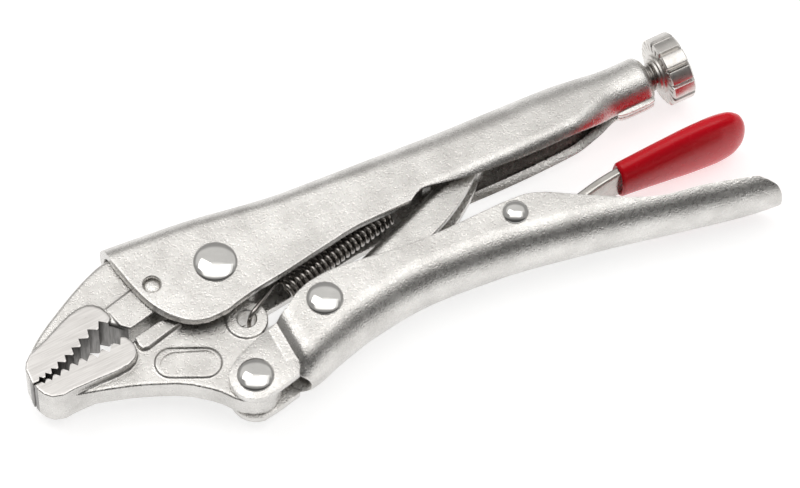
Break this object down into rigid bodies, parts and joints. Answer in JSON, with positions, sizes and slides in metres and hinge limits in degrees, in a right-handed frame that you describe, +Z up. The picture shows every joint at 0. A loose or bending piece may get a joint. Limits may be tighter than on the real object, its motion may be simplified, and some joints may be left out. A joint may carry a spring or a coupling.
{
  "type": "locking pliers",
  "caption": "Small locking pliers with curved toothed jaws, wire cutter, adjusting screw, release lever and toggle linkage, shown locked.",
  "frame": {"origin": "on the jaw pivot axis, in the plane that the pliers rest on when they lie on one side", "axes": "+X to the rear along the adjusting screw, +Y towards the back of the upper handle, +Z up, along every pivot"},
  "size_m": [0.1298, 0.0434, 0.0144],
  "materials": {
    "nickel_blasted": "satin",
    "jaw_steel": "satin",
    "polished_rivet": "polished",
    "lever_steel": "satin",
    "screw_steel": "satin",
    "knob_nickel": "satin",
    "spring_steel": "polished",
    "red_vinyl": "gloss"
  },
  "bodies": {
    "upper_handle": {"upper_handle": "nickel_blasted", "fixed_jaw": "jaw_steel", "fixed_jaw_pin": "jaw_steel", "jaw_rivet": "polished_rivet", "return_spring": "spring_steel"},
    "lower_jaw": {"lower_jaw": "jaw_steel"},
    "lower_handle": {"lower_handle": "nickel_blasted", "handle_rivet": "polished_rivet", "link_rivet": "polished_rivet", "lever_rivet": "polished_rivet"},
    "toggle_link": {"toggle_link": "nickel_blasted"},
    "release_lever": {"release_lever": "lever_steel", "lever_grip": "red_vinyl"},
    "adjusting_screw": {"adjusting_screw": "screw_steel"},
    "adjusting_knob": {"adjusting_knob": "knob_nickel"}
  },
  "joints": [
    {"name": "jaw_pivot", "type": "hinge", "parent": "upper_handle", "child": "lower_jaw", "pos_m": [0, 0, 0.0072], "axis": [0, 0, 1], "range_deg": [0, 24], "deforming": ["return_spring"]},
    {"name": "handle_pivot", "type": "hinge", "parent": "lower_jaw", "child": "lower_handle", "pos_m": [-0.0032, -0.0211, 0.0072], "axis": [0, 0, 1], "range_deg": [-78.98, 0.5]},
    {"name": "link_pivot", "type": "hinge", "parent": "lower_handle", "child": "toggle_link", "pos_m": [0.0131, -0.0145, 0.0072], "axis": [0, 0, 1], "range_deg": [-0.5, 82.82]},
    {"name": "lever_pivot", "type": "hinge", "parent": "lower_handle", "child": "release_lever", "pos_m": [0.049, -0.0147, 0.0072], "axis": [0, 0, 1], "range_deg": [-6, 4]},
    {"name": "screw_travel", "type": "slide", "parent": "upper_handle", "child": "adjusting_screw", "axis": [1, 0, 0], "range_m": [-0.0008, 0.008]},
    {"name": "knob_turn", "type": "hinge", "parent": "adjusting_screw", "child": "adjusting_knob", "pos_m": [0.0851, 0.00074, 0.0072], "axis": [1, 0, 0], "range_deg": [-375, 3635]}
  ],
  "couplings": [
    {"joint": "handle_pivot", "follows": "jaw_pivot", "ratio": -3.27},
    {"joint": "link_pivot", "follows": "jaw_pivot", "ratio": 3.43},
    {"joint": "knob_turn", "follows": "screw_travel", "rad_per_m": 7854}
  ]
}
